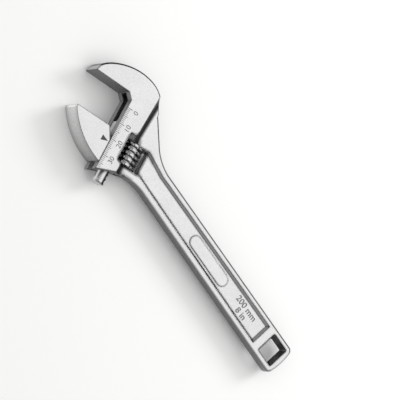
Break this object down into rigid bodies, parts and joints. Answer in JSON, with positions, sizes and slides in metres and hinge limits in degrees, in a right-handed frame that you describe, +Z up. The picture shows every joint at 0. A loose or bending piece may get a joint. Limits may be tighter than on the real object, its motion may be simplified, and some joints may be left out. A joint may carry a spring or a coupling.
{
  "type": "adjustable wrench",
  "caption": "Adjustable wrench with one fixed jaw and one sliding jaw, moved by a knurled worm in the head, and a recessed handle with a hanging hole.",
  "frame": {"origin": "centre of the bounding box's bottom, with the wrench lying flat and its jaws open 22.3 mm", "axes": "+X along the handle towards the jaws, +Y towards the movable jaw's side, +Z up out of the marked face"},
  "size_m": [0.2, 0.0603, 0.0144],
  "materials": {
    "plated_body": "satin chrome plate on a drop-forged body",
    "plated_jaw": "satin chrome plate",
    "plated_worm": "knurled, plated",
    "steel_pin": "turned",
    "spring_steel": "drawn wire"
  },
  "bodies": {
    "body": {"wrench_body": "plated_body", "worm_pin": "steel_pin", "worm_spring": "spring_steel"},
    "jaw": {"movable_jaw": "plated_jaw"},
    "worm": {"adjusting_worm": "plated_worm"}
  },
  "joints": [
    {"name": "jaw_slide", "type": "slide", "parent": "body", "child": "jaw", "axis": [-0.3584, 0.9336, 0], "range_m": [-0.02225, 0.0077]},
    {"name": "worm_turn", "type": "hinge", "parent": "body", "child": "worm", "pos_m": [0.05146, -0.00132, 0.0072], "axis": [-0.3584, 0.9336, 0], "range_deg": [-2671, 925]}
  ],
  "couplings": [
    {"joint": "worm_turn", "follows": "jaw_slide", "rad_per_m": 2094.4}
  ]
}
